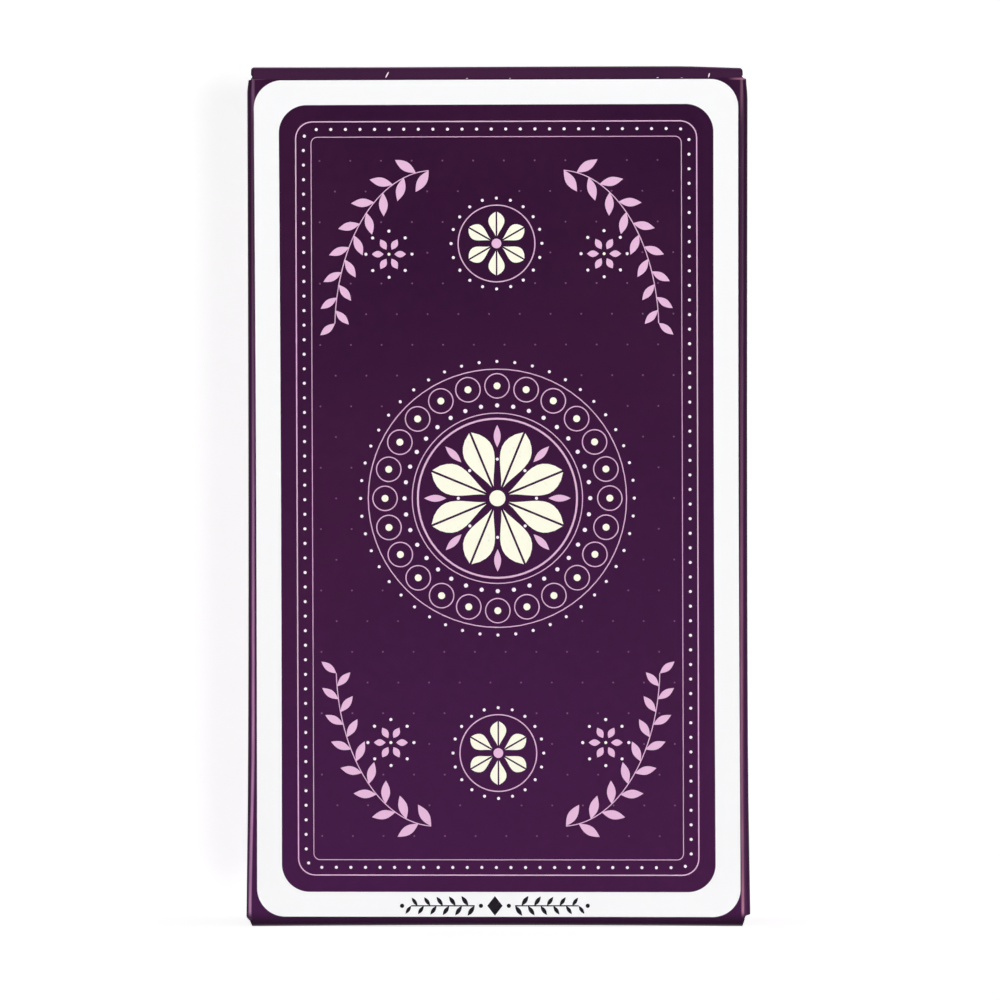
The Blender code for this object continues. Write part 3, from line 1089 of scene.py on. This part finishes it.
def line_tree():
    """A ruled line of ink along a path."""
    graph, given = new_tree("ruled_line", Object=["Path"], Float=["Width"])
    width = given["Width"]
    inputs = {"Resolution": 6, "Radius": width * 0.5}
    profile = graph.add("GeometryNodeCurvePrimitiveCircle", inputs)["Curve"]
    inputs = {"Curve": graph.shape_of(given["Path"]), "Profile Curve": profile, "Fill Caps": True}
    tube = graph.add("GeometryNodeCurveToMesh", inputs)["Mesh"]
    flat = graph.vector(1.0, 2 * INK / width, 1.0)
    return end_tree(graph, graph.put(tube, graph.scaled(graph.position(), flat)), given["Ink"])


def lattice_tree():
    """Specks in staggered rows over the field, left out around the three medallions."""
    sizes = ["Pitch", "Clear", "Spot", "Spot Clear"]
    graph, given = new_tree("speck_lattice", Object=["Motif"], Int=["Columns", "Rows"], Float=sizes)
    columns, rows, pitch = given["Columns"], given["Rows"], given["Pitch"]
    size_z = (rows - 1) * pitch
    inputs = {"Size X": (columns - 1) * pitch, "Size Y": size_z, "Vertices X": columns, "Vertices Y": rows}
    grid = graph.add("GeometryNodeMeshGrid", inputs)["Mesh"]
    x, z, _ = graph.parts(graph.position())
    stagger = ((z + size_z * 0.5) / pitch).rounded().modulo(2.0) * pitch * 0.5
    staggered = graph.put(grid, graph.vector(x + stagger - pitch * 0.25, 0.0, z))
    x, _, z = graph.parts(graph.position())
    middle = (x * x + z * z).root() < given["Clear"]
    up = abs(z) - given["Spot"]
    spots = (x * x + up * up).root() < given["Spot Clear"]
    inputs = {"Geometry": staggered, "Selection": middle.at_least(spots)}
    kept = graph.add("GeometryNodeDeleteGeometry", inputs, domain="POINT")["Geometry"]
    specks = graph.copies(kept, given["Motif"], Scale=(1.0, SPECK_INK / INK, 1.0))
    return end_tree(graph, specks, given["Ink"])


def from_nodes(tree, values):
    """The plain mesh that a tree makes from values for its named inputs."""
    holder = link(tree.name, bpy.data.meshes.new(tree.name))
    modifier = holder.modifiers.new(tree.name, "NODES")
    modifier.node_group = tree
    for socket in tree.interface.items_tree:
        if socket.in_out == "INPUT":
            modifier[socket.identifier] = values[socket.name]
    return baked_mesh(holder)


ring_nodes, row_nodes, line_nodes, speck_nodes = ring_tree(), row_tree(), line_tree(), lattice_tree()


def ring(shape, count, radius, ink, turn=0.0):
    values = {"Motif": shape, "Count": count, "Radius": radius, "Turn": turn, "Ink": ink}
    return from_nodes(ring_nodes, values)


def single(shape, ink):
    return ring(shape, 1, 0.0, ink)


def strung(shape, along, pitch, ink, lean=0.0, shrink=0.0):
    values = {"Motif": shape, "Path": along, "Pitch": pitch, "Lean": lean, "Shrink": shrink, "Ink": ink}
    return from_nodes(row_nodes, values)


def ruled(along, width, ink):
    return from_nodes(line_nodes, {"Path": along, "Width": width, "Ink": ink})


def ruled_circle(radius, width):
    return ruled(path(circle(radius, 72), closed=True), width, pink_ink)


def moved(mesh, x=0.0, z=0.0, mirror_x=1, mirror_z=1):
    """A copy of a flat ornament, mirrored and then shifted."""
    copy = mesh.copy()
    copy.transform(Matrix.Diagonal((mirror_x, 1, mirror_z, 1)))
    if mirror_x * mirror_z < 0:
        copy.flip_normals()
    copy.transform(Matrix.Translation((x, 0, z)))
    return copy


def joined(name, meshes):
    """One mesh of several, each part keeping its ink."""
    build = bmesh.new()
    inks = []
    for mesh in meshes:
        ink = mesh.materials[-1]
        if ink not in inks:
            inks.append(ink)
        first = len(build.faces)
        build.from_mesh(mesh)
        build.faces.ensure_lookup_table()
        for face in build.faces[first:]:
            face.material_index = inks.index(ink)
    mesh = as_mesh(name, build)
    for ink in inks:
        mesh.materials.append(ink)
    return mesh


dot = motif(circle(0.3))
bead = motif(circle(0.22, 14))
berry = motif(circle(0.5))
speck = motif(circle(0.13, 10))
centre_disc = motif(circle(1.15, 28))
small_disc = motif(circle(0.7))
lozenge = motif([(1.1, 0), (0, 1.4), (-1.1, 0), (0, -1.4)])
broad_petal = motif(*petal_halves(8.4, 4.1, 0.3))
thin_petal = motif(leaf(3.2, 1.0))
short_petal = motif(*petal_halves(3.5, 2.1, 0.22))
tiny_petal = motif(leaf(1.7, 0.95))
spray_leaf = motif(leaf(3.6, 1.35))
sprig_leaf = motif(leaf(1.75, 0.62))


def centre_medallion():
    """A rosette of eight petals inside beaded and scalloped rings."""
    scallop = aid(ruled_circle(1.75, 0.17))
    return [
        single(centre_disc, cream_ink),
        ring(broad_petal, 8, 1.75, cream_ink, math.pi / 8),
        ring(thin_petal, 8, 7.3, pink_ink),
        ring(bead, 8, 5.6, pale_ink),
        ruled_circle(11.4, 0.3),
        ruled_circle(12.2, 0.15),
        ring(dot, 36, 13.3, pale_ink),
        ring(scallop, 24, 16.1, pink_ink),
        ring(berry, 24, 16.1, cream_ink),
        ruled_circle(18.5, 0.16),
        ring(bead, 48, 19.6, pale_ink),
    ]


def small_medallion():
    """A six-petalled flower in a ring of beads."""
    return [
        single(small_disc, pink_ink),
        ring(short_petal, 6, 1.05, cream_ink, math.pi / 6),
        ruled_circle(5.5, 0.18),
        ring(bead, 20, 6.5, pale_ink),
    ]


SPRAY_MIDDLE = (9.0, 24.0)
SPRAY_REACH = (14.2, 23.0)
SPRAY_SHARE = (0.03, 0.97)
SPRAY_POINTS = 30
SPOT_HEIGHT = 36.5
FLORET_PLACE = (15.4, 35.0)


def corner_spray():
    """A leafy stem that follows the corner, with a floret in its hollow."""
    points = []
    for share in spread(*SPRAY_SHARE, SPRAY_POINTS):
        turn = QUARTER * share
        x = SPRAY_MIDDLE[0] + SPRAY_REACH[0] * math.sin(turn)
        points.append((x, SPRAY_MIDDLE[1] + SPRAY_REACH[1] * math.cos(turn)))
    stem = path(points)
    petals = ring(tiny_petal, 6, 0.75, pink_ink)
    floret = [petals, single(bead, cream_ink), ring(bead, 8, 3.3, pale_ink)]
    return [
        ruled(stem, 0.16, pink_ink),
        strung(spray_leaf, stem, 1.75, pink_ink, math.radians(48), 0.25),
        *(moved(mesh, *FLORET_PLACE) for mesh in floret),
    ]


def field_ornament():
    """All that is printed on a field, around the field's middle."""
    spray = corner_spray()
    spot = small_medallion()
    values = {"Motif": speck, "Columns": 12, "Rows": 23, "Pitch": 4.4, "Ink": dusk_ink}
    specks = from_nodes(speck_nodes, {**values, "Clear": 21.0, "Spot": SPOT_HEIGHT, "Spot Clear": 7.6})
    corners = [moved(mesh, 0, 0, sx, sz) for mesh in spray for sx in (1, -1) for sz in (1, -1)]
    spots = [moved(mesh, 0, height) for mesh in spot for height in (SPOT_HEIGHT, -SPOT_HEIGHT)]
    frames = [
        ruled(rounded_frame(28.7, 54.0, 2.4), 0.2, pink_ink),
        strung(bead, rounded_frame(27.6, 52.9, 1.6), 2.1, pale_ink),
        ruled(rounded_frame(26.5, 51.8, 0.9), 0.13, pink_ink),
    ]
    return [specks, *frames, *centre_medallion(), *spots, *corners]


def border_ornament():
    """A dark tailpiece for the lower margin: a lozenge between two lying sprigs."""
    stalk = path([(2.9, 0.0), (12.0, 0.0)])
    right = [
        moved(single(dot, black_ink), 2.0, 0.0),
        ruled(stalk, 0.2, black_ink),
        strung(sprig_leaf, stalk, 0.9, black_ink, math.radians(55), 0.2),
        moved(single(dot, black_ink), 13.3, 0.0),
    ]
    return [single(lozenge, black_ink), *right, *(moved(mesh, 0, 0, -1, 1) for mesh in right)]


SIDE_RULE = (6.6, 53.0)
SIDE_FLORETS = range(-48, 49, 8)
SIDE_BEADS = range(-44, 45, 8)


def side_ornament():
    """A narrow run of florets and beads between two rules."""
    floret = [ring(tiny_petal, 4, 0.55, pink_ink, math.pi / 4), single(bead, cream_ink)]
    across, reach = SIDE_RULE
    rule = ruled(path([(across, -reach), (across, reach)]), 0.16, pink_ink)
    florets = [moved(mesh, 0, height) for mesh in floret for height in SIDE_FLORETS]
    pale_bead = single(bead, pale_ink)
    beads = [moved(pale_bead, 0, height) for height in SIDE_BEADS]
    return [rule, moved(rule, 0, 0, -1, 1), *florets, *beads]


def tilted(mesh):
    """Turns a flat ornament with the print and lifts it to its height on the panel."""
    copy = mesh.copy()
    for vertex in copy.vertices:
        x, y, z = vertex.co
        lean = PRINT_LEAN[0] + (PRINT_LEAN[1] - PRINT_LEAN[0]) * (x / SIDE + 1) / 2
        tilt = PRINT_TILT[0] + (PRINT_TILT[1] - PRINT_TILT[0]) * (z + PRINT_MIDDLE) / TOP
        vertex.co = (x - z * lean + PRINT_SHIFT, y, z + x * tilt + PRINT_MIDDLE)
    return copy


def laid_on(name, meshes, face):
    """Lays flat ornaments on a face of the carton, following its bow."""
    mesh = joined(name, meshes)
    for vertex in mesh.vertices:
        x, depth, z = vertex.co
        if face in ("front", "back"):
            way = -1 if face == "front" else 1
            place = wall_point(-way * x, FRONT * -way, Vector((0, way)), z)
            vertex.co = (-way * x, place.y - way * depth, z)
        else:
            way = -1 if face == "left" else 1
            place = wall_point(way * SIDE, way * x, Vector((way, 0)), z)
            vertex.co = (place.x - way * depth, way * x, z)
    mesh.transform(Matrix.Scale(MM, 4))
    piece = link(name, mesh)
    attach(piece, "carton")
    return piece


BORDER_ORNAMENT_PLACE = (-0.4, 2.85)
field_meshes = field_ornament()
tail_meshes = [moved(mesh, *BORDER_ORNAMENT_PLACE) for mesh in border_ornament()]
front_meshes = [tilted(mesh) for mesh in field_meshes]
laid_on("front_ornament", [*front_meshes, *tail_meshes], "front")
laid_on("back_ornament", [moved(mesh, 0, PRINT_MIDDLE) for mesh in field_meshes], "back")
side_meshes = [moved(mesh, 0, PRINT_MIDDLE) for mesh in side_ornament()]
laid_on("left_ornament", side_meshes, "left")
laid_on("right_ornament", side_meshes, "right")

for item in drawing_aids:
    bpy.data.objects.remove(item)


# The stage, in metres

FLOOR = -0.00013
FLOOR_SPAN = 3.0
BACKDROP = 0.046
BACKDROP_TOP = 2.0
COVE_RADIUS = 0.03
COVE_STEPS = 8
LAMP_TARGET = (0.0, 0.0, 0.06)

# How white the paper and the world are, and how much the floor glows more, in its lowest millimetres
STAGE_WHITE = (0.9, 0.9, 0.9, 1.0)
STAGE_GLOW = 0.73
FLOOR_GLOW = 0.09
FLOOR_GLOW_TOP = 8.0
WORLD_WHITE = (1.0, 1.0, 1.0, 1.0)
WORLD_STRENGTH = 0.18

# The camera, in millimetres: lens, sensor, and the width and middle of its view at the front panel
LENS = 220.0
SENSOR = 36.0
PHOTO_SPAN = 143.27
VIEW_MIDDLE = (0.33, 60.99)


def paint_stage(graph, output):
    """White paper that keeps shadows, and lets other views look through it from behind."""
    ray = graph.add("ShaderNodeLightPath")
    seen = (ray["Is Camera Ray"] + ray["Is Glossy Ray"]).at_most(1.0)
    seen = (seen + ray["Is Transmission Ray"]).at_most(1.0)
    paper = graph.add("ShaderNodeBsdfDiffuse", {"Color": STAGE_WHITE})["BSDF"]
    height = graph.parts(graph.place())[2]
    strength = STAGE_GLOW + graph.fall(height, 0.0, FLOOR_GLOW_TOP) * FLOOR_GLOW
    glow = graph.add("ShaderNodeEmission", {"Strength": seen * strength})["Emission"]
    lit = graph.add("ShaderNodeAddShader", {0: paper, 1: glow})["Shader"]
    clear = graph.add("ShaderNodeBsdfTransparent")["BSDF"]
    behind = graph.add("ShaderNodeNewGeometry")["Backfacing"]
    surface = graph.add("ShaderNodeMixShader", {0: behind, 1: lit, 2: clear})["Shader"]
    graph.feed(output, {"Surface": surface})


def add_stage():
    """A pale floor all round, and a backdrop that rises from it behind the box."""
    floor = [(-FLOOR_SPAN, FLOOR), (FLOOR_SPAN, FLOOR)]
    backdrop = [(BACKDROP - COVE_RADIUS, FLOOR)]
    for sine, cosine in quarter_turn(COVE_STEPS):
        y = BACKDROP - COVE_RADIUS + COVE_RADIUS * sine
        backdrop.append((y, FLOOR + COVE_RADIUS - COVE_RADIUS * cosine))
    backdrop.append((BACKDROP, BACKDROP_TOP))
    build = bmesh.new()
    for profile in (floor, backdrop):
        add_sheet(build, [[(-FLOOR_SPAN, y, z), (FLOOR_SPAN, y, z)] for y, z in profile])
    mesh = as_mesh("stage_paper", build)
    mesh.shade_smooth()
    material = bpy.data.materials.new("stage_paper")
    material.use_nodes = True
    paint_stage(Graph(material.node_tree), material.node_tree.nodes["Material Output"])
    mesh.materials.append(material)
    paper = link("stage_paper", mesh)
    return paper


def lamp_group(name, pieces):
    group = bpy.data.collections.new(name)
    for piece in pieces:
        group.objects.link(piece)
    return group


def add_light(name, place, size, power, lit, shading, mirrored=True):
    """An area lamp that lights one group of pieces, past the shadows of another.

    A lamp that isn't mirrored leaves no streak on the glossy print."""
    light = bpy.data.lights.new(name, "AREA")
    light.shape = "RECTANGLE"
    light.size, light.size_y = size
    light.energy = power
    lamp = link(name, light)
    lamp.location = place
    lamp.rotation_euler = (Vector(LAMP_TARGET) - Vector(place)).to_track_quat("-Z", "Y").to_euler()
    lamp.visible_camera = False
    lamp.visible_glossy = mirrored
    lamp.light_linking.receiver_collection = lit
    lamp.light_linking.blocker_collection = shading


def add_camera():
    """Square on to the front, so far off that the view is PHOTO_SPAN wide at the front panel."""
    camera = bpy.data.cameras.new("camera")
    camera.lens = LENS
    camera.sensor_width = SENSOR
    viewer = link("camera", camera)
    distance = PHOTO_SPAN * LENS / SENSOR
    viewer.location = Vector((VIEW_MIDDLE[0], FRONT - distance, VIEW_MIDDLE[1])) * MM
    viewer.rotation_euler = (QUARTER, 0.0, 0.0)
    bpy.context.scene.camera = viewer


def add_world():
    world = bpy.data.worlds.new("studio")
    world.use_nodes = True
    background = world.node_tree.nodes["Background"]
    background.inputs["Color"].default_value = WORLD_WHITE
    background.inputs["Strength"].default_value = WORLD_STRENGTH
    bpy.context.scene.world = world


box_group = lamp_group("lit_box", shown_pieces())
paper_group = lamp_group("lit_paper", [add_stage()])
add_light("key", (0.55, -0.85, 0.2), (0.4, 0.5), 5.7, box_group, box_group)
add_light("fill", (-0.55, -0.85, 0.15), (0.4, 0.5), 4.7, box_group, box_group)
add_light("top", (0.0, 0.1, 0.9), (0.6, 0.4), 2.8, box_group, box_group)
add_light("behind", (0.35, 0.9, 0.3), (0.6, 0.5), 10.0, box_group, box_group, mirrored=False)
add_light("below", (0.1, 0.4, -0.8), (0.5, 0.4), 3.0, box_group, box_group)
add_light("paper", (0.18, -1.2, 0.065), (0.12, 0.12), 2.5, paper_group, box_group)
add_camera()
add_world()
bpy.context.scene.view_settings.view_transform = "Standard"
